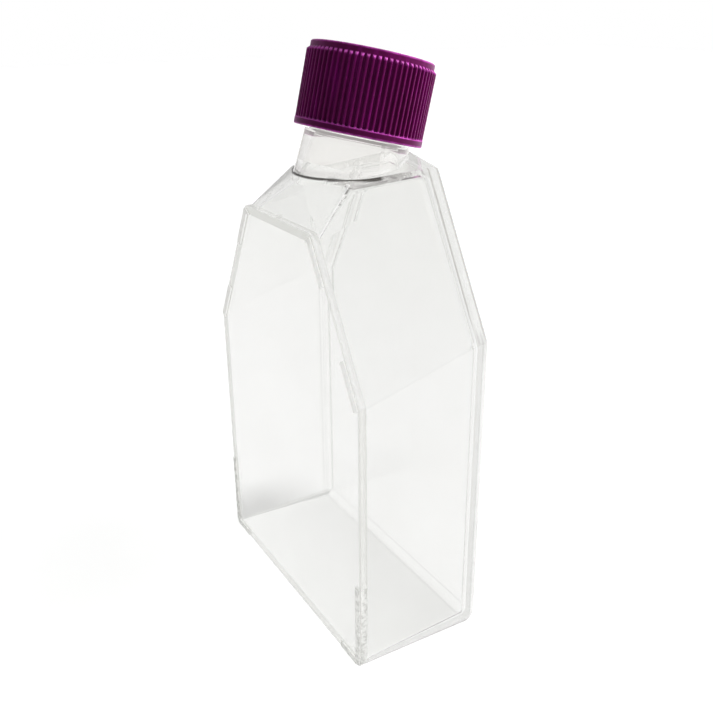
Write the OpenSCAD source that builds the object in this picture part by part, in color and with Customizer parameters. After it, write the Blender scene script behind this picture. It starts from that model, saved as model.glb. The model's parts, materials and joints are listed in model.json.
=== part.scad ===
// Cell culture flask with a canted neck, a welded growth plate and a ribbed screw cap.
// Millimetres. The flask stands on its bottom end, growth plate towards -Y, neck up and
// leaning towards +Y. The origin is the middle of the bottom end.

/* [Body] */
// Outside width between the two narrow sides
body_width = 80; // [66:1:100]
// Outside depth from the growth plate's face to the back wall
body_depth = 37; // [34:0.5:46]
// Height where the front edges turn inwards
front_knee_height = 74.5; // [60:0.5:82]
// Height where the back edges turn inwards
back_knee_height = 83.5; // [72:0.5:92]
// Length of each slanted front edge
front_slant_length = 42; // [38:0.5:44]
// Length of each slanted back edge
back_slant_length = 45; // [42:0.5:47]
// Lean of the slanted sides from upright
slant_angle = 30.5; // [27:0.5:32]
// Thickness of every shell wall
shell_wall = 2; // [1.4:0.1:2.6]
// Rounding of the back edges, measured across the back wall
back_edge_width = 1.6; // [1:0.1:3]
// Rounding of the back edges, measured towards the front
back_edge_depth = 2.8; // [1:0.1:4]
// Rounding of the bottom end at the back, measured upwards
back_foot_rise = 4.2; // [1:0.1:5]
// Outer radius at the shoulders and along the top of the back wall
shoulder_radius = 1.5; // [1:0.1:2.5]
// Radius inside the cavity's back corners
inner_radius = 2.8; // [0.5:0.1:3.4]
// Outer radius of the corners along the welded rim
rim_corner_radius = 2.5; // [1:0.1:3]
// Width of the welding rim under the plate's top edge
top_rim_width = 3; // [2.4:0.1:4]

/* [Neck] */
// Lean of the neck away from the growth plate
neck_cant = 13.5; // [0:0.5:20]
// Distance of the neck's foot from the middle of the flask, towards the back wall
neck_offset = 3.2; // [2:0.1:5]
// Height of the neck's foot below the back shoulders
seat_drop = 1.8; // [1.2:0.1:3]
// Width of the land around the foot of the neck
seat_land = 0.3; // [0.2:0.05:0.8]
// How far the deck's front corners lie in front of the neck's foot
deck_reach = 9; // [8:0.1:12]
// Rise of the back wall's top edge from the shoulders to its middle
crown_rise = 3; // [0.5:0.1:3.5]
// Outer radius of the neck at its foot
neck_foot_radius = 14.1; // [13.6:0.1:14.2]
// Outer radius of the neck just under the cap
neck_top_radius = 13.4; // [13:0.1:13.6]
// Length of neck between its foot and the threaded finish
neck_length = 8.1; // [6:0.1:12]
// Outer radius of the threaded finish between the threads
finish_radius = 12.3; // [11.6:0.1:12.4]
// Thickness of the neck wall
neck_wall = 1.6; // [1.2:0.1:2.2]

/* [Thread] */
// Rise of the thread in one turn
thread_pitch = 4; // [3.6:0.1:5]
// Turns of thread on the neck and inside the cap
thread_turns = 1.5; // [1:0.25:1.75]
// Height of the thread ridge on the neck
thread_depth = 0.9; // [0.6:0.1:1]
// Height of the thread ridge inside the cap
cap_thread_depth = 0.9; // [0.5:0.1:1]
// Height of the neck thread's start above the foot of the finish
thread_start_height = 5.2; // [4:0.1:7]
// Width of a thread ridge at its foot
thread_foot_width = 1.8; // [1.2:0.1:1.9]
// Width of a thread ridge at its crest
thread_crest_width = 0.8; // [0.4:0.1:1]

/* [Screw cap] */
// Outer radius of the plain band below the ribs
cap_radius = 16.3; // [16:0.1:18]
// Height of the cap
cap_height = 20; // [19.5:0.1:26]
// Thickness of the cap's top
cap_top_thickness = 1.8; // [1.2:0.1:2]
// Gap between the neck's thread crests and the inside of the cap
cap_clearance = 0.4; // [0.3:0.05:0.6]
// Gap between the cap's lower edge and the neck's shoulder under the finish
skirt_gap = 0.4; // [0.2:0.1:1]
// Number of grip ribs
rib_count = 72; // [48:1:84]
// Height of a grip rib above the drum between the ribs
rib_depth = 0.7; // [0.3:0.05:0.8]
// Share of the pitch that a rib fills at its foot
rib_share = 0.65; // [0.3:0.05:0.7]
// Width of a rib's crest as a share of the width at its foot
rib_crest_share = 0.35; // [0.2:0.05:0.9]
// How far the ribs' crests lie inside the plain band
rib_setback = 0.1; // [0.05:0.05:0.3]
// Height over which a rib runs out at its top
rib_runout = 0.8; // [0.4:0.1:2]
// Height of the plain band below the ribs
band_height = 1.8; // [1:0.1:4]
// Height of the plain rim above the ribs
rim_height = 1.3; // [1:0.1:3]
// Bevel on the top and bottom outer edges
cap_bevel = 0.25; // [0.1:0.05:0.6]

/* [Cap liner] */
// Thickness of the soft sealing disc
liner_thickness = 1.2; // [0.8:0.1:1.6]
// Gap around the disc inside the cap
liner_clearance = 0.3; // [0.2:0.05:0.5]
// Gap between the disc and the neck's lip
seal_gap = 0.1; // [0.05:0.05:0.3]

/* [Growth plate] */
// Thickness of the welded plate
plate_thickness = 1.8; // [1.2:0.1:2.4]
// Height of the feet on the plate's outer face
foot_height = 0.45; // [0.3:0.05:0.8]
// Width of the feet
foot_width = 1.7; // [1:0.1:2.4]
// Distance of the feet from the plate's edge
foot_margin = 0.5; // [0.3:0.1:1]
// How far a bottom foot climbs its side
foot_rise = 25; // [12:1:34]
// How far a bottom foot runs along the bottom edge
foot_run = 10; // [6:1:20]
// Length of the feet above the knees and below the shoulders
slant_foot_length = 12; // [6:1:17]
// Radius of the gate mark at the top of the plate
gate_radius = 0.9; // [0.6:0.1:1.4]
// How far the gate mark stands out of the plate's top edge
gate_height = 0.7; // [0.4:0.1:1]

/* [Hidden] */
fine = 96;
smooth = 32;
// Thickness of the slabs that carry an outline into a hull
slab = 0.3;
// Depth by which a ridge or a rib is sunk into the wall that carries it
overlap = 0.2;

// Outline of the body
half_width = body_width / 2;
half_depth = body_depth / 2;
front_y = -half_depth;
rim_y = front_y + plate_thickness;
front_top_half = half_width - front_slant_length * sin(slant_angle);
front_top_z = front_knee_height + front_slant_length * cos(slant_angle);
back_top_half = half_width - back_slant_length * sin(slant_angle);
back_top_z = back_knee_height + back_slant_length * cos(slant_angle);

// Shoulder and foot of the neck
seat_z = back_top_z - seat_drop;
deck_y = neck_offset - deck_reach;

// Stations along the neck's own axis, measured from its foot
cap_start = neck_length + skirt_gap;
cap_end = cap_start + cap_height;
liner_start = cap_end - cap_top_thickness - liner_thickness;
neck_lip = liner_start - seal_gap;
thread_start = neck_length + thread_start_height;
cap_thread_start = thread_start - thread_pitch / 2;
finish_bore_radius = finish_radius - neck_wall;
foot_bore_radius = neck_foot_radius - neck_wall;
neck_taper = (neck_foot_radius - neck_top_radius) / neck_length;
neck_sink = neck_foot_radius * tan(neck_cant) + shell_wall;

// Thread and the inside of the cap
thread_radius = finish_radius + thread_depth;
cap_bore_radius = thread_radius + cap_clearance;
rib_crest_radius = cap_radius - rib_setback;
cap_drum_radius = rib_crest_radius - rib_depth;
rib_top = cap_height - rim_height;
rib_step = 360 / rib_count;
liner_radius = cap_bore_radius - liner_clearance;

// ---------- helpers ----------

// Places things on the neck's axis, its foot at the origin
module on_neck() {
    translate([0, neck_offset, seat_z])
        rotate([-neck_cant, 0, 0])
            children();
}

// Turns a drawing in X and Z upright, from y0 and `depth` thick towards +Y
module upright(y0, depth) {
    translate([0, y0 + depth, 0])
        rotate([90, 0, 0])
            linear_extrude(depth)
                children();
}

// Six-sided outline of a flask standing on its bottom end
module flask_outline(half, knee_z, top_half, top_z, floor_z = 0) {
    polygon([
        [-half, floor_z],
        [half, floor_z],
        [half, knee_z],
        [top_half, top_z],
        [-top_half, top_z],
        [-half, knee_z]
    ]);
}

// Outline of the welded rim and of the plate, with its small corner radii
module rim_outline() {
    offset(r = rim_corner_radius, $fn = smooth)
        offset(delta = -rim_corner_radius)
            flask_outline(half_width, front_knee_height, front_top_half, front_top_z);
}

// A ball with its poles towards front and back, or an egg where `size` has three half axes
module ball(size) {
    scale(size)
        rotate([90, 0, 0])
            sphere(r = 1, $fn = smooth);
}

// A ball or an egg on each side of the middle
module ball_pair(x, y, z, size) {
    for (side = [-1, 1])
        translate([side * x, y, z])
            ball(size);
}

// Half the width between the slanted sides, at one depth and height
function side_half(y, z) =
    let (knee_rise = (back_knee_height - front_knee_height) / (half_depth - rim_y))
    half_width - (z - front_knee_height - knee_rise * (y - rim_y)) * tan(slant_angle);

// Balls that round off the back wall and the deck, touching faces `inset` inside the outer ones.
// `edge` is the rounding of the back wall's lower corners, across, in depth and upwards.
module rounded_corners(edge, top_radius, inset) {
    low = inset + edge[0];
    high = inset + top_radius;
    slant_shift = high * (1 / cos(slant_angle) - tan(slant_angle));
    low_y = half_depth - inset - edge[1];
    high_y = half_depth - high;
    knee_z = back_knee_height - low * tan(slant_angle / 2);
    ball_pair(half_width - low, low_y, inset + edge[2], edge);
    ball_pair(half_width - low, low_y, knee_z, [edge[0], edge[1], edge[0]]);
    ball_pair(back_top_half - slant_shift, high_y, back_top_z - high, top_radius);
    ball_pair(side_half(deck_y, seat_z) - slant_shift, deck_y + inset, seat_z - high, top_radius);
    translate([0, high_y, back_top_z + crown_rise - high])
        ball(top_radius);
}

// Front half of the oval pad at the foot of the neck
module neck_pad(radius, sink) {
    translate([0, neck_offset, seat_z - sink - slab])
        scale([1, 1 / cos(neck_cant), 1])
            rotate(180)
                rotate_extrude(angle = 180, $fn = fine)
                    square([radius, slab]);
}

// A thread ridge: a four-sided section swept along a helix, faded out at both ends
module thread_ridge(foot_radius, crest_radius) {
    steps = ceil(thread_turns * smooth);
    fade = 4;
    rise = crest_radius - foot_radius;
    function swell(i) = min(1, (0.5 + min(i, steps - i)) / fade);
    function section(i) = [
        [foot_radius, -thread_foot_width / 2],
        [foot_radius + rise * swell(i), -thread_crest_width / 2],
        [foot_radius + rise * swell(i), thread_crest_width / 2],
        [foot_radius, thread_foot_width / 2]
    ];
    function turned(p, a) = [p[0] * cos(a), p[0] * sin(a), p[1] + thread_pitch * a / 360];
    function corner(i, k) = 4 * i + k % 4;
    function facing(f) = rise > 0 ? f : [f[2], f[1], f[0]];
    points = [
        for (i = [0 : steps])
            for (p = section(i))
                turned(p, 360 * thread_turns * i / steps)
    ];
    sides = [
        for (i = [0 : steps - 1])
            for (k = [0 : 3])
                for (half = [0, 1])
                    half == 0
                        ? [corner(i, k), corner(i, k + 1), corner(i + 1, k + 1)]
                        : [corner(i, k), corner(i + 1, k + 1), corner(i + 1, k)]
    ];
    first_end = [[2, 1, 0], [3, 2, 0]];
    last_end = [for (f = first_end) [for (k = [2 : -1 : 0]) f[k] + 4 * steps]];
    polyhedron(points, [for (f = concat(sides, first_end, last_end)) facing(f)]);
}

// ---------- flask shell ----------

// Outer skin of the body and its shoulder
module shell_skin() {
    hull() {
        upright(rim_y, slab)
            rim_outline();
        rounded_corners([back_edge_width, back_edge_depth, back_foot_rise], shoulder_radius, 0);
        neck_pad(neck_foot_radius + seat_land, 0);
    }
}

// Room inside the body, open at the welded rim
module shell_cavity() {
    rim_top = front_top_z - top_rim_width;
    rim_top_half = front_top_half + top_rim_width * tan(slant_angle) - shell_wall / cos(slant_angle);
    rim_knee = front_knee_height - shell_wall * tan(slant_angle / 2);
    hull() {
        upright(rim_y - slab, slab)
            flask_outline(half_width - shell_wall, rim_knee, rim_top_half, rim_top, shell_wall);
        rounded_corners([inner_radius, inner_radius, inner_radius], inner_radius, shell_wall);
        neck_pad(foot_bore_radius, shell_wall);
    }
}

// Outside of the neck: tapered root and the finish for the cap
module neck_skin() {
    rotate_extrude($fn = fine)
        polygon([
            [0, -neck_sink],
            [neck_foot_radius + neck_sink * neck_taper, -neck_sink],
            [neck_top_radius, neck_length],
            [finish_radius, neck_length],
            [finish_radius, neck_lip],
            [0, neck_lip]
        ]);
}

// Way through the neck: wide at the root, narrower in the finish
module neck_passage() {
    rotate_extrude($fn = fine)
        polygon([
            [0, -1.5 * neck_sink],
            [foot_bore_radius, -1.5 * neck_sink],
            [foot_bore_radius, 0],
            [finish_bore_radius, neck_length],
            [finish_bore_radius, cap_end],
            [0, cap_end]
        ]);
}

module flask_shell() {
    color("gainsboro", 0.45)
        difference() {
            union() {
                shell_skin();
                on_neck()
                    neck_skin();
                on_neck()
                    translate([0, 0, thread_start])
                        thread_ridge(finish_radius - overlap, thread_radius);
            }
            shell_cavity();
            on_neck()
                neck_passage();
        }
}

// ---------- growth plate ----------

// Band that the feet follow, inside the plate's edge
module foot_track() {
    difference() {
        offset(delta = -foot_margin)
            rim_outline();
        offset(delta = -foot_margin - foot_width)
            rim_outline();
    }
}

// Stretches of the band that carry feet, on one side of the plate
module foot_windows() {
    translate([half_width - foot_run, 0])
        square([foot_run, foot_rise]);
    translate([half_width, front_knee_height])
        rotate(slant_angle)
            translate([-3 * foot_width, 0])
                square([3 * foot_width, slant_foot_length]);
    translate([front_top_half, front_top_z])
        rotate(slant_angle)
            translate([-3 * foot_width, -slant_foot_length - foot_margin])
                square([3 * foot_width, slant_foot_length]);
}

module feet() {
    intersection() {
        foot_track();
        for (side = [0, 1])
            mirror([side, 0])
                foot_windows();
    }
}

module growth_plate() {
    color("gainsboro", 0.6) {
        upright(front_y, plate_thickness)
            rim_outline();
        upright(front_y - foot_height, foot_height)
            feet();
        translate([0, front_y + plate_thickness / 2, front_top_z])
            cylinder(r = gate_radius, h = gate_height, $fn = smooth);
    }
}

// ---------- screw cap ----------

// Drum of the cap: plain band, ribbed stretch and rim
module cap_drum() {
    rotate_extrude($fn = fine)
        polygon([
            [0, 0],
            [cap_radius - cap_bevel, 0],
            [cap_radius, cap_bevel],
            [cap_radius, band_height],
            [cap_drum_radius, band_height],
            [cap_drum_radius, cap_height - cap_bevel],
            [cap_drum_radius - cap_bevel, cap_height],
            [0, cap_height]
        ]);
}

// One grip rib, from the plain band to its sloped upper end, narrower at its crest
module grip_rib() {
    foot = rib_share * rib_step * PI / 180 * cap_drum_radius;
    crest = rib_crest_share * foot;
    root_radius = cap_drum_radius - overlap;
    intersection() {
        rotate([90, 0, 0])
            translate([0, 0, -foot])
                linear_extrude(2 * foot)
                    polygon([
                        [root_radius, band_height - overlap],
                        [rib_crest_radius, band_height - overlap],
                        [rib_crest_radius, rib_top - rib_runout],
                        [root_radius, rib_top]
                    ]);
        linear_extrude(cap_height)
            polygon([
                [root_radius, -foot / 2],
                [cap_drum_radius, -foot / 2],
                [rib_crest_radius, -crest / 2],
                [rib_crest_radius, crest / 2],
                [cap_drum_radius, foot / 2],
                [root_radius, foot / 2]
            ]);
    }
}

// Threaded room inside the cap, filled at the top by the liner
module cap_bore() {
    translate([0, 0, -1])
        cylinder(r = cap_bore_radius, h = cap_height - cap_top_thickness + 1, $fn = fine);
}

module screw_cap() {
    color("purple")
        on_neck() {
            translate([0, 0, cap_start])
                difference() {
                    union() {
                        cap_drum();
                        for (i = [0 : rib_count - 1])
                            rotate(i * rib_step)
                                grip_rib();
                    }
                    cap_bore();
                }
            translate([0, 0, cap_thread_start])
                thread_ridge(cap_bore_radius + overlap, cap_bore_radius - cap_thread_depth);
        }
}

// ---------- cap liner ----------

module cap_liner() {
    color("whitesmoke")
        on_neck()
            translate([0, 0, liner_start])
                cylinder(r = liner_radius, h = liner_thickness, $fn = fine);
}

flask_shell();
growth_plate();
screw_cap();
cap_liner();
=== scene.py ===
"""Cell culture flask: looks for the clear shell, its growth plate and the purple screw cap."""
import json
import math

import bpy
from mathutils import Matrix, Vector


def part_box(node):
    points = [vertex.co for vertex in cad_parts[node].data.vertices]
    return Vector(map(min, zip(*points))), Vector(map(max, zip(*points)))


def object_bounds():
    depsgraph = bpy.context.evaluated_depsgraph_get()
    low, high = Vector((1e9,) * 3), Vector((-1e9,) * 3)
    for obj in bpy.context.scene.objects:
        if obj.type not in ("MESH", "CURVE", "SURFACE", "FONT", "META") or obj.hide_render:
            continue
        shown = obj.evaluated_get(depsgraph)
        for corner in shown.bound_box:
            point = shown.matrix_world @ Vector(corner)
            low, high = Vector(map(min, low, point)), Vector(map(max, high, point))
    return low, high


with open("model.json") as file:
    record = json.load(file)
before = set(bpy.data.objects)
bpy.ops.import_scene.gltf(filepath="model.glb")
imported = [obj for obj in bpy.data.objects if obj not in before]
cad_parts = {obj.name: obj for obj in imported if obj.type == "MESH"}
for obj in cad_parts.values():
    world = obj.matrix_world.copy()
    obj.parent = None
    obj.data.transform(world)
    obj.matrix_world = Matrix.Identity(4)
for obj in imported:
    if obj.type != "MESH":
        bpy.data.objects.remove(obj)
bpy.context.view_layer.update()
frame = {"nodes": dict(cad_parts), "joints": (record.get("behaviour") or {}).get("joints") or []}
nodes = frame["nodes"]
scene = bpy.context.scene
scene.view_settings.view_transform = "Standard"
# Light goes through many walls here, and along them
wall_bounces = 32
scene.cycles.max_bounces = wall_bounces
scene.cycles.glossy_bounces = wall_bounces
scene.cycles.transmission_bounces = wall_bounces


# ---------- camera ----------

# Where the photograph was taken from, fitted to the flask's corners in it, with angles in degrees
camera_azimuth, camera_elevation, camera_roll = 59.65, 22.56, -0.53
camera_place = (0.18751, -0.10552, 0.15905)
lens_mm, sensor_mm = 42.742553, 36


def view_right():
    """The photograph's right-hand side, as a direction along the floor."""
    azimuth = math.radians(camera_azimuth)
    return Vector((math.cos(azimuth), math.sin(azimuth), 0))


def place_camera():
    """A camera at the photograph's place and viewing angle."""
    azimuth, elevation, roll = (math.radians(v) for v in (camera_azimuth, camera_elevation, camera_roll))
    forward = Vector((
        -math.sin(azimuth) * math.cos(elevation),
        math.cos(azimuth) * math.cos(elevation),
        -math.sin(elevation),
    ))
    right = view_right()
    up = right.cross(forward)
    right_rolled = math.cos(roll) * right + math.sin(roll) * up
    up_rolled = -math.sin(roll) * right + math.cos(roll) * up
    turn = Matrix((right_rolled, up_rolled, -forward)).transposed()
    data = bpy.data.cameras.new("camera")
    data.lens = lens_mm
    data.sensor_width = sensor_mm
    data.clip_start = 0.01
    camera = bpy.data.objects.new("camera", data)
    scene.collection.objects.link(camera)
    camera.matrix_world = Matrix.Translation(camera_place) @ turn.to_4x4()
    scene.camera = camera


place_camera()


# ---------- node helpers ----------

class Tree:
    """A node tree that is written one call a node."""

    def __init__(self, tree):
        self.tree = tree
        tree.nodes.clear()

    def node(self, kind, values=None, **settings):
        """A new node: `values` go to its sockets, as constants or links, and `settings` to its properties."""
        n = self.tree.nodes.new(kind)
        for key, value in settings.items():
            setattr(n, key, value)
        for key, value in (values or {}).items():
            self.put(n.inputs[key], value)
        return n

    def put(self, socket, value):
        if isinstance(value, bpy.types.NodeSocket):
            self.tree.links.new(value, socket)
        else:
            socket.default_value = value

    def math(self, operation, a, b=0.0):
        return self.node("ShaderNodeMath", {0: a, 1: b}, operation=operation).outputs[0]

    def chain(self, operation, first, *others):
        """One operation over all the values, from left to right."""
        for value in others:
            first = self.math(operation, first, value)
        return first

    def product(self, *values):
        return self.chain("MULTIPLY", *values)

    def total(self, *values):
        return self.chain("ADD", *values)

    def highest(self, *values):
        return self.chain("MAXIMUM", *values)

    def absolute(self, value):
        return self.math("ABSOLUTE", value)

    def gap(self, a, b):
        """How far `a` is from `b`."""
        return self.absolute(self.math("SUBTRACT", a, b))

    def ramp(self, value, low, high, out_low=0.0, out_high=1.0):
        """From `out_low` to `out_high` while `value` goes from `low` to `high`, and level beyond."""
        values = {"Value": value, "From Min": low, "From Max": high, "To Min": out_low, "To Max": out_high}
        return self.node("ShaderNodeMapRange", values, clamp=True).outputs[0]

    def fall(self, value, low, high):
        """1 up to `low` and 0 from `high`."""
        return self.ramp(value, low, high, 1.0, 0.0)

    def vector(self, operation, a, b):
        return self.node("ShaderNodeVectorMath", {0: a, 1: b}, operation=operation)

    def length(self, vector):
        return self.node("ShaderNodeVectorMath", {0: vector}, operation="LENGTH").outputs["Value"]

    def scaled(self, vector, scale):
        return self.node("ShaderNodeVectorMath", {0: vector, "Scale": scale}, operation="SCALE").outputs[0]

    def axes(self, vector):
        """The three parts of a vector."""
        return self.node("ShaderNodeSeparateXYZ", {0: vector}).outputs

    def mix(self, factor, a, b):
        """The colour `a` where `factor` is 0, and `b` where it is 1."""
        n = self.node("ShaderNodeMix", data_type="RGBA")
        self.put(n.inputs[0], factor)
        self.put(n.inputs[6], a)
        self.put(n.inputs[7], b)
        return n.outputs[2]

    def noise(self, vector, scale, detail=2.0, roughness=0.5, distortion=0.0):
        values = {
            "Vector": vector,
            "Scale": scale,
            "Detail": detail,
            "Roughness": roughness,
            "Distortion": distortion,
        }
        return self.node("ShaderNodeTexNoise", values).outputs["Fac"]

    def place(self):
        """The point in the row frame, in metres."""
        return self.node("ShaderNodeTexCoord").outputs["Object"]

    def stretched(self, vector, scale):
        return self.node("ShaderNodeMapping", {"Vector": vector, "Scale": scale}).outputs["Vector"]

    def output(self, surface):
        self.node("ShaderNodeOutputMaterial", {"Surface": surface})


def new_material(name):
    material = bpy.data.materials.new(name)
    material.use_nodes = True
    return material, Tree(material.node_tree)


# ---------- places on the flask, in metres ----------

cap_turn = next(joint for joint in frame["joints"] if joint["name"] == "cap_turn")
neck_foot, neck_axis = Vector(cap_turn["pos_m"]), Vector(cap_turn["axis"])
neck_reach = 0.0146
# Heights on the cap, measured from the neck's foot along the neck
cap_foot, ledge, rib_end, cap_top = 0.0085, 0.0103, 0.0268, 0.0285
# Radii of the cap: between its ribs, on them, and at the edge of its top
cap_drum, cap_crest, cap_top_edge = 0.0155, 0.0162, 0.0148
shell_low, shell_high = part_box("flask_shell")
half_width = shell_high[0]
plate_thickness = 0.0018
plate_face = shell_low[1] - plate_thickness
# The narrow sides slant inwards from the knees up. At one depth |x| + slant * z is the same all along a
# slanted side, and slant_skin is what it is on the outer face near the back
slant = math.tan(math.radians(30.5))
slant_skin = 0.08895
# How wide the soft edge of most painted lines is
mask_blur = 0.0002


# ---------- materials ----------

# Colours low and high on the flask, darker high up, and the pale colour of a painted glow that stands in for
# light scattered inside a wall
tint = ((0.958, 0.958, 0.954), (0.916, 0.917, 0.905))
plate_tint = (tint[0], (0.9, 0.9, 0.888))
neck_tint = ((0.965, 0.965, 0.955), (0.965, 0.96, 0.95))
painted_line_tint = ((0.94, 0.94, 0.93), (0.93, 0.93, 0.92))
painted_glow = (0.82, 0.822, 0.805, 1)
painted_neck_glow = (0.82, 0.81, 0.78, 1)
painted_plate_glow = (0.9, 0.9, 0.885, 1)
lamp_tint = (0.97, 0.971, 0.968, 1)
painted_glow_share = 0.16
# Heights between which the low colour turns into the high one
shell_deepening, plate_deepening = (0.075, 0.122), (0.06, 0.105)
plastic_ior = 1.5


def clear_output(material, t, surface, wall_glow):
    """Clear plastic that lets lamps through, slightly tinted at each surface. Where a reflected ray meets it,
    a share of it glows in a pale colour: a painted glow that stands in for light scattered inside a wall."""
    path = t.node("ShaderNodeLightPath").outputs
    lamp = t.node("ShaderNodeBsdfTransparent", {"Color": lamp_tint})
    # A painted glow, though the plastic is no lamp
    cloud = t.node("ShaderNodeEmission", {"Color": wall_glow, "Strength": 1.0})
    share = t.product(path["Is Glossy Ray"], painted_glow_share)
    inside = t.node("ShaderNodeMixShader", {0: share, 1: surface, 2: cloud.outputs[0]})
    shadow = path["Is Shadow Ray"]
    t.output(t.node("ShaderNodeMixShader", {0: shadow, 1: inside.outputs[0], 2: lamp.outputs[0]}).outputs[0])
    material.cycles.emission_sampling = "NONE"


def side_mask(t, x, inset):
    """The narrow sides of the flask, from `inset` under their faces outwards."""
    inner = half_width - inset
    return t.ramp(t.absolute(x), inner, inner + mask_blur)


def foot_line(t, place):
    """Masks for the neck's foot: a painted dark line where it meets the pad, in place of the refraction
    there, and a painted pale band above it.
    """
    around = t.vector("SUBTRACT", place, neck_foot).outputs[0]
    # The neck leans back, so depth counts for less in the distance from its axis
    radius = t.length(t.vector("MULTIPLY", around, (1, neck_axis[2], 0)).outputs[0])
    x, y, rise = t.axes(around)
    aside = t.absolute(x)
    # A ring at the neck's outer face, on its front
    ring = t.product(t.ramp(radius, 0.0133, 0.0136), t.fall(radius, 0.0147, 0.0149))
    ring = t.product(ring, t.fall(y, -0.002, 0.004))
    line = t.product(ring, t.fall(t.absolute(rise), 0.00016, 0.0004), t.fall(aside, 0.0105, 0.012))
    # Further aside the line leaves the neck and runs out along the land around it
    land_radius = t.ramp(aside, 0.0085, 0.0135, 0.0144, 0.0156)
    land = t.product(t.fall(t.gap(radius, land_radius), 0.0003, 0.0007), t.ramp(aside, 0.0085, 0.0095))
    level = t.fall(t.gap(rise, 0.0001), 0.0004, 0.0006)
    land = t.product(land, level, t.fall(y, -0.001, 0.001))
    band = t.product(t.ramp(rise, 0.0003, 0.0005), t.fall(rise, 0.0014, 0.0022))
    return t.highest(line, land), t.product(ring, band)


def back_edge_lines(t, place, colour):
    """Draws painted lines of light and shade along the shell's back edges into `colour`, in place of the
    refraction at its inner corners, and gives a mask of the painted pale strips between them too. The lines
    follow the photograph, and have no shape of their own in the CAD."""
    x, depth, z = t.axes(place)
    grain = t.noise(place, 500, 2.0)
    across = t.absolute(x)

    def strip(low, high, soft=mask_blur):
        return t.product(t.ramp(depth, low - soft, low, 0.0, 0.9), t.fall(depth, high, high + soft))

    skin = t.ramp(t.total(across, t.product(z, slant)), slant_skin - 0.0008, slant_skin - 0.0005)
    slanted = t.product(skin, t.ramp(z, 0.0840, 0.0865))
    upright = t.product(side_mask(t, x, 0.0006), t.fall(z, 0.078, 0.082))
    # On the slanted sides: a painted glint high up, a painted pale strip, a thin painted dark line and a
    # painted line at the rim
    glint = t.product(strip(0.0117, 0.0129, 0.0003), t.ramp(z, 0.099, 0.112))
    painted_pale_strip = t.product(strip(0.0152, 0.0170), slanted)
    colour = t.mix(t.product(t.highest(glint, painted_pale_strip), slanted), colour, (0.985, 0.985, 0.975, 1))
    line_depth = t.ramp(z, 0.0888, 0.115, 0.0146, 0.01507)
    painted_dark_line = t.product(t.fall(t.gap(depth, line_depth), 0.0001, 0.0003), t.ramp(grain, 0.3, 0.6, 0.75, 1.0))
    painted_dark_line = t.product(painted_dark_line, t.ramp(z, 0.0865, 0.0915))
    colour = t.mix(t.product(painted_dark_line, slanted), colour, (0.4, 0.39, 0.355, 1))
    colour = t.mix(t.product(strip(0.0172, 0.0177), slanted), colour, (0.6, 0.59, 0.56, 1))
    # On the upright sides: a painted shaded strip and a painted pale one
    colour = t.mix(t.product(strip(0.0139, 0.0152), upright), colour, (0.9, 0.9, 0.885, 1))
    return colour, t.highest(painted_pale_strip, t.product(strip(0.0162, 0.0176), upright))


def shell_marks(t, place, colour, painted_line_milk):
    """Draws painted light and shade at the neck's foot, along the back edges and as a dark band at the bottom
    of the narrow sides. Gives the colour and how far the shell can be seen through."""
    line, band = foot_line(t, place)
    # A painted dark line and a painted pale band at the neck's foot, in place of its refraction
    colour = t.mix(line, colour, (0.05, 0.045, 0.04, 1))
    colour = t.mix(band, colour, (0.96, 0.935, 0.925, 1))
    colour, painted_pale_strips = back_edge_lines(t, place, colour)
    x, _depth, z = t.axes(place)
    # Painted shade: a dark band at the bottom of the narrow sides
    painted_bottom_shade = t.product(side_mask(t, x, 0.0016), t.fall(z, 0.0004, 0.0024))
    colour = t.mix(painted_bottom_shade, colour, (0.2, 0.2, 0.19, 1))
    dull = t.total(t.product(line, 0.7), t.product(band, 0.2), t.product(painted_bottom_shade, 0.5))
    see_through = t.math("SUBTRACT", 1.0 - painted_line_milk, dull)
    return colour, t.math("SUBTRACT", see_through, t.product(painted_pale_strips, 0.13))


def plate_frost(t, place, colour, rough, height):
    """Frosts the growth plate's feet and greys its narrow sides with painted shade. Gives the colour, the
    roughness, the bump height and how far the plate can be seen through."""
    x, depth, z = t.axes(place)
    feet_from = plate_face - 0.00003
    side = side_mask(t, x, 0.0003)
    feet = t.fall(depth, feet_from - 0.00005, feet_from)
    frost = t.highest(feet, t.product(side, t.fall(z, 0.0248, 0.0252)))
    # Painted grey on the narrow sides, in place of the light that runs along inside them
    colour = t.mix(side, colour, (0.74, 0.74, 0.715, 1))
    # Strong on the plate's low part, and faint above it
    mottle = t.ramp(t.noise(t.stretched(place, (800, 800, 900)), 1.0, 3.0, 0.7), 0.44, 0.6)
    mottle = t.product(mottle, t.ramp(z, 0.026, 0.028, 1.0, 0.2))
    rough = t.total(rough, t.product(frost, t.ramp(mottle, 0, 1, 0.3, 0.5)))
    height = t.total(height, t.product(frost, t.product(t.noise(place, 900, 3.0), 0.1)))
    colour = t.mix(frost, colour, t.mix(mottle, (0.88, 0.88, 0.855, 1), (0.54, 0.54, 0.515, 1)))
    see_through = t.math("SUBTRACT", 1.0, t.highest(t.product(frost, 0.15), t.product(side, 0.22)))
    return colour, rough, height, see_through


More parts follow.
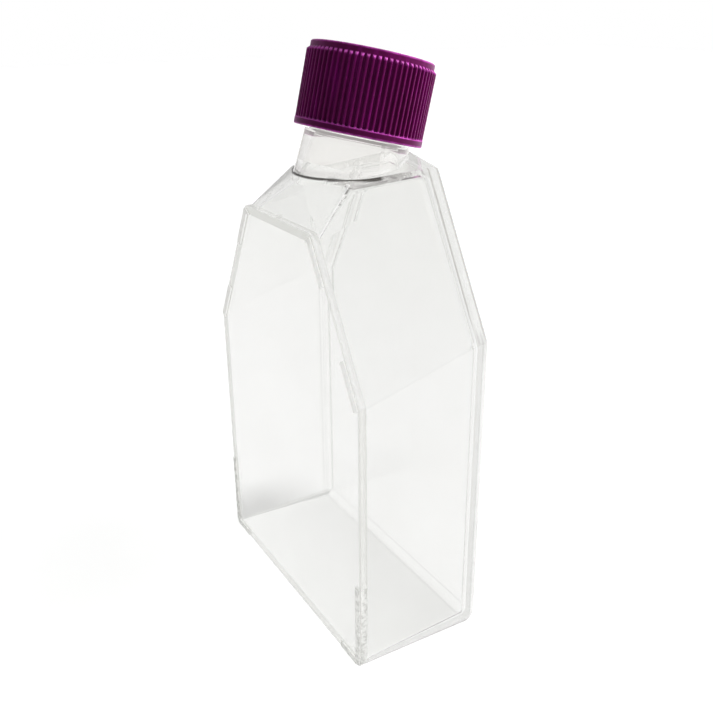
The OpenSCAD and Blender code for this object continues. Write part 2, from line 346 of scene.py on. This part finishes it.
def clear_plastic(name, tints, wall_glow, plate=False, painted_darkening=1.0, deepening=shell_deepening, painted_line_milk=0.0):
    """Clear polystyrene with faint flow waves, scuffs and a tint that goes from the low to the high one
    between the heights in `deepening`. A darkening factor under 1 darkens it with painted shade, and a milk
    share makes it less clear, which draws a painted bright line."""
    material, t = new_material(name)
    place = t.place()
    wave = t.noise(t.stretched(place, (60, 60, 22)), 1.0, 1.5)
    scuff = t.ramp(t.noise(t.stretched(place, (300, 300, 900)), 1.0, 4.0, 0.62, 0.4), 0.62, 0.74)
    cloud = t.noise(place, 45, 2.0)
    rough = t.total(t.ramp(cloud, 0.35, 0.7, 0.012, 0.035), t.product(scuff, 0.03))
    height = t.total(wave, t.product(scuff, 0.004))
    low_tint, high_tint = tints
    colour = t.mix(t.ramp(t.axes(place)[2], *deepening), (*low_tint, 1), (*high_tint, 1))
    colour = t.mix(t.ramp(cloud, 0.3, 0.7, 0.0, 0.35), colour, (*(0.985 * v for v in high_tint), 1))
    # Painted shade: darker where the darkening factor is under 1
    colour = t.mix(1.0 - painted_darkening, colour, (0, 0, 0, 1))
    if plate:
        colour, rough, height, see_through = plate_frost(t, place, colour, rough, height)
    else:
        colour, see_through = shell_marks(t, place, colour, painted_line_milk)
    bump = t.node("ShaderNodeBump", {"Height": height, "Strength": 0.035, "Distance": 0.0004})
    values = {
        "Base Color": colour,
        "Roughness": rough,
        "Normal": bump.outputs[0],
        "IOR": plastic_ior,
        "Transmission Weight": see_through,
    }
    wall = t.node("ShaderNodeBsdfPrincipled", values)
    clear_output(material, t, wall.outputs[0], wall_glow)
    return material


def cap_plastic():
    """Purple moulded plastic, with painted shade between the ribs and painted highlights where ribs, rim and
    band end in edges.
    """
    material, t = new_material("cap_purple")
    place = t.place()
    around = t.vector("SUBTRACT", place, neck_foot).outputs[0]
    along = t.vector("DOT_PRODUCT", around, neck_axis).outputs["Value"]
    radius = t.length(t.vector("SUBTRACT", around, t.scaled(neck_axis, along)).outputs[0])

    def near(height, core, reach, from_radius):
        """A ring at `height` on the cap that fades between `core` and `reach`."""
        at = t.fall(t.gap(along, height), core, reach)
        return t.product(at, t.ramp(radius, from_radius, from_radius + mask_blur))

    cloud = t.noise(place, 120, 3.0)
    speck = t.noise(place, 2200, 2.0)
    streak = t.noise(t.stretched(place, (500, 500, 40)), 1.0, 3.0)
    # Painted shade: darker between the ribs, lighter on their crests
    painted_groove_shade = t.mix(cloud, (0.07, 0.004, 0.04, 1), (0.09, 0.0045, 0.054, 1))
    painted_crest_light = t.mix(cloud, (0.108, 0.006, 0.064, 1), (0.13, 0.007, 0.08, 1))
    colour = t.mix(t.ramp(radius, cap_drum, cap_crest), painted_groove_shade, painted_crest_light)
    colour = t.mix(t.ramp(streak, 0.5, 0.75, 0.0, 0.7), colour, (0.18, 0.004, 0.13, 1))
    low_band = t.ramp(along, ledge - 0.0003, ledge - 0.0001, 0.8, 0.0)
    colour = t.mix(low_band, colour, (0.05, 0.003, 0.028, 1))
    # Painted highlights on the edges where ribs, rim and band end, broken up by noise
    upper_edges = t.highest(near(rib_end, 0.0003, 0.0008, cap_drum), near(ledge, 0.0001, 0.00035, cap_drum))
    outer_edges = t.highest(
        near(cap_foot, 0.00015, 0.0005, cap_drum),
        near(cap_top, 0.00015, 0.0005, cap_top_edge),
    )
    highlight_breakup = t.ramp(t.noise(place, 700, 2.0), 0.35, 0.6, 0.35, 0.9)
    painted_edge_highlights = t.product(t.highest(upper_edges, outer_edges), highlight_breakup)
    colour = t.mix(painted_edge_highlights, colour, (0.58, 0.09, 0.5, 1))
    # A stronger painted highlight just at the ribs' tops
    painted_rib_highlight = t.product(near(rib_end + 0.0001, 0.0002, 0.0006, cap_drum + mask_blur), 0.6)
    colour = t.mix(painted_rib_highlight, colour, (0.66, 0.18, 0.55, 1))
    rough = t.total(t.ramp(cloud, 0.3, 0.7, 0.26, 0.36), t.product(speck, 0.06))
    edge = t.node("ShaderNodeBevel", {"Radius": 0.0003}, samples=6)
    grain = {"Height": speck, "Strength": 0.08, "Distance": 0.00005, "Normal": edge.outputs[0]}
    bump = t.node("ShaderNodeBump", grain)
    values = {
        "Base Color": colour,
        "Roughness": rough,
        "Normal": bump.outputs[0],
        "IOR": plastic_ior,
        "Specular IOR Level": 0.16,
        "Specular Tint": (1.0, 0.22, 0.8, 1),
        "Sheen Weight": 0.38,
        "Sheen Roughness": 0.35,
        "Sheen Tint": (0.8, 0.06, 0.7, 1),
        "Subsurface Weight": 0.15,
        "Subsurface Radius": (0.8, 0.06, 0.6),
        "Subsurface Scale": 0.0015,
    }
    t.output(t.node("ShaderNodeBsdfPrincipled", values).outputs[0])
    return material


def liner_foam():
    """Soft white sealing foam with fine pores."""
    material, t = new_material("liner_white")
    pores = t.ramp(t.noise(t.place(), 2600, 2.0), 0.35, 0.6)
    colour = t.mix(pores, (0.72, 0.72, 0.7, 1), (0.86, 0.86, 0.84, 1))
    bump = t.node("ShaderNodeBump", {"Height": pores, "Strength": 0.3, "Distance": 0.00005})
    values = {"Base Color": colour, "Roughness": t.ramp(pores, 0, 1, 0.85, 0.7), "Normal": bump.outputs[0]}
    t.output(t.node("ShaderNodeBsdfPrincipled", values).outputs[0])
    return material


# ---------- dressing ----------

# The shell's slots after that of its walls: the neck, painted shade along the back's roundings and the neck's
# back, and a painted bright line on the edges of the pad under the neck
neck_slot, painted_shade_slot, painted_line_slot = 1, 2, 3


def dress(node, *materials):
    """Gives a node its materials, in the order of their slots."""
    mesh = nodes[node].data
    mesh.materials.clear()
    for material in materials:
        mesh.materials.append(material)


def shell_slot(face):
    """The slot of one face of the shell by its place and the way it faces, or None for the plain walls."""
    n, at = face.normal, face.center
    slope = abs(n.y)
    inside = n.x * at.x + n.y * at.y < 0
    # The rounded edges of the pad, in front of the neck on both sides, which draw a painted bright line
    if at.z > 0.1 and not inside and -0.42 < n.y < -0.17 and abs(n.x) > 0.5 and n.z > 0.4:
        return painted_line_slot
    # Where the roundings along the back's edges begin and end, inside the wall and outside: painted darker as
    # shade
    rounding_end = 0.15 < slope < 0.23 or 0.97 < slope < 0.99
    back_inside = inside and at.y > 0.012 and at.z < 0.084 and rounding_end
    back_outside = not inside and at.y > 0.015 and at.z < 0.106 and abs(at.x) > 0.01 and 0.10 < slope < 0.16
    # A strip up the back of the neck, under the cap, painted darker as well
    neck_back = at.z > 0.108 and at.y > 0.012 and at.x > 0 and n.z < -0.2 and 0.25 < n.y < 0.95
    if back_inside or back_outside or neck_back:
        return painted_shade_slot
    # The neck above its foot
    out = at - neck_foot
    along = out.dot(neck_axis)
    if along > 0.0001 and (out - along * neck_axis).length < neck_reach:
        return neck_slot
    return None


def dress_shell():
    """Gives the shell its four kinds of clear plastic, face by face."""
    dress(
        "flask_shell",
        clear_plastic("shell_clear", tint, painted_glow),
        clear_plastic("neck_clear", neck_tint, painted_neck_glow),
        # Painted shade for the back's roundings, and a painted bright line for the pad's edges
        clear_plastic("painted_shade_clear", tint, painted_glow, painted_darkening=0.76),
        clear_plastic("painted_line_clear", painted_line_tint, painted_glow, painted_line_milk=0.5),
    )
    for face in nodes["flask_shell"].data.polygons:
        slot = shell_slot(face)
        if slot is not None:
            face.material_index = slot


dress_shell()
plate_clear = clear_plastic("plate_clear", plate_tint, painted_plate_glow, plate=True, deepening=plate_deepening)
dress("growth_plate", plate_clear)
dress("screw_cap", cap_plastic())
dress("cap_liner", liner_foam())


# ---------- studio ----------

def floor_shade(t, place, path):
    """How much a painted shadow darkens the floor under the flask, and beside it on the side away from the
    camera.
    """
    x, y, _z = t.axes(place)
    under = t.product(t.fall(t.absolute(x), 0.034, 0.042), t.fall(t.absolute(y), 0.014, 0.021))
    under = t.product(under, t.ramp(y, -0.012, 0.014, 0.13, 0.25))
    beside = t.product(t.ramp(x, -0.064, -0.047), t.fall(x, -0.0415, -0.0405))
    beside = t.product(beside, t.product(t.ramp(y, -0.026, -0.018), t.fall(y, -0.004, 0.018)))
    shade = t.total(under, t.product(beside, 0.62))
    # A little more for light that has been reflected on its way
    return t.total(shade, t.product(t.math("GREATER_THAN", path["Glossy Depth"], 0.5), 0.06))


def white_floor():
    """A pale floor that shows white to the camera and keeps the shadow of the flask."""
    size, drop = 2.5, 0.0001
    mesh = bpy.data.meshes.new("floor")
    corners = [(-size, -size, 0), (size, -size, 0), (size, size, 0), (-size, size, 0)]
    mesh.from_pydata(corners, [], [(0, 1, 2, 3)])
    floor = bpy.data.objects.new("floor", mesh)
    scene.collection.objects.link(floor)
    floor.location.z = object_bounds()[0][2] - drop
    material, t = new_material("floor_white")
    place = t.place()
    colour = t.mix(t.noise(place, 60, 3.0), (0.79, 0.79, 0.79, 1), (0.83, 0.83, 0.83, 1))
    path = t.node("ShaderNodeLightPath").outputs
    # The painted shadow is only for the floor as seen through the clear plastic
    shade = floor_shade(t, place, path)
    lit_share = t.math("SUBTRACT", 1.0, t.product(shade, path["Is Transmission Ray"]))
    matt = t.node("ShaderNodeBsdfDiffuse", {"Color": t.scaled(colour, lit_share)})
    glow = t.node("ShaderNodeEmission", {"Color": (1, 1, 1, 1), "Strength": t.product(0.3, lit_share)})
    lit = t.node("ShaderNodeAddShader", {0: matt.outputs[0], 1: glow.outputs[0]})
    # The glow is for what is seen, and lights nothing itself
    seen = t.highest(path["Is Camera Ray"], path["Is Transmission Ray"], path["Is Glossy Ray"])
    seen = t.product(seen, t.math("LESS_THAN", path["Diffuse Depth"], 0.5))
    t.output(t.node("ShaderNodeMixShader", {0: seen, 1: matt.outputs[0], 2: lit.outputs[0]}).outputs[0])
    mesh.materials.append(material)


def studio_world():
    """White behind the flask, and a soft grey room for reflections. What the plastic refracts darkens
    upwards and to the sides of the photograph's view."""
    world = bpy.data.worlds.new("studio")
    scene.world = world
    world.use_nodes = True
    t = Tree(world.node_tree)
    path = t.node("ShaderNodeLightPath").outputs
    straight = t.math("LESS_THAN", path["Diffuse Depth"], 0.5)
    through = t.product(path["Is Transmission Ray"], straight)
    direction = t.node("ShaderNodeTexCoord").outputs["Generated"]
    height = t.axes(direction)[2]
    aside = t.vector("DOT_PRODUCT", direction, view_right()).outputs["Value"]
    room = t.ramp(height, 0.1, 0.36, 0.33, 0.8)
    ceiling = t.ramp(height, 0.2, 0.75, 1.0, 0.78)
    wings = t.ramp(t.absolute(aside), 0.22, 0.8, 1.0, 0.9)
    turned = t.ramp(path["Glossy Depth"], 0.4, 0.6, 1.0, 0.97)
    lit = t.mix(path["Is Diffuse Ray"], room, (0.2, 0.2, 0.2, 1))
    lit = t.mix(through, lit, t.product(t.math("MINIMUM", ceiling, wings), turned))
    colour = t.mix(path["Is Camera Ray"], lit, (1, 1, 1, 1))
    back = t.node("ShaderNodeBackground", {"Color": colour, "Strength": 1.0})
    t.node("ShaderNodeOutputWorld", {"Surface": back.outputs[0]})


def soft_sun(name, towards, strength, spread):
    """A far lamp in the direction `towards`, as wide as `spread` degrees."""
    data = bpy.data.lights.new(name, "SUN")
    data.energy = strength
    data.angle = math.radians(spread)
    lamp = bpy.data.objects.new(name, data)
    scene.collection.objects.link(lamp)
    lamp.visible_glossy = False
    lamp.visible_transmission = False
    lamp.rotation_euler = (-Vector(towards)).to_track_quat("-Z", "Y").to_euler()


white_floor()
studio_world()
soft_sun("key_sun", (0.42, 0.76, 0.56), 3.5, 60)
soft_sun("side_sun", (0.6, 0.8, 0.12), 3.3, 50)
